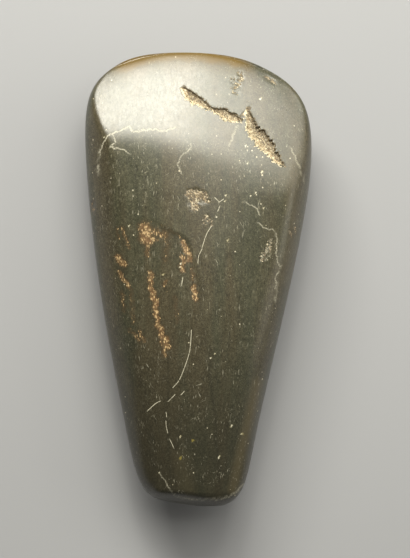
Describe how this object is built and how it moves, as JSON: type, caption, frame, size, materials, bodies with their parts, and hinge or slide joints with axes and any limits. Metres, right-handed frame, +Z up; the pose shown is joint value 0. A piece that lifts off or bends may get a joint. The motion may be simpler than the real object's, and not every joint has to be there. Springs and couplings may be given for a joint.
{
  "type": "polished stone axe head",
  "caption": "Ground and polished greenstone axe head with a broad curved cutting edge, flattened sides and a narrow blunt butt.",
  "frame": {"origin": "under the middle of the bounding box, on the surface that the stone lies on", "axes": "+Y from the butt towards the cutting edge, +X across the blade, +Z up out of the upper face"},
  "size_m": [0.075, 0.15, 0.032],
  "materials": {
    "polished_greenstone": "dark olive-brown greenstone, ground and polished to a satin sheen, with lengthwise streaks, pale specks, brown rough patches and an amber, slightly translucent cutting edge"
  },
  "bodies": {
    "root": {"axe_head": "polished_greenstone"}
  },
  "joints": []
}
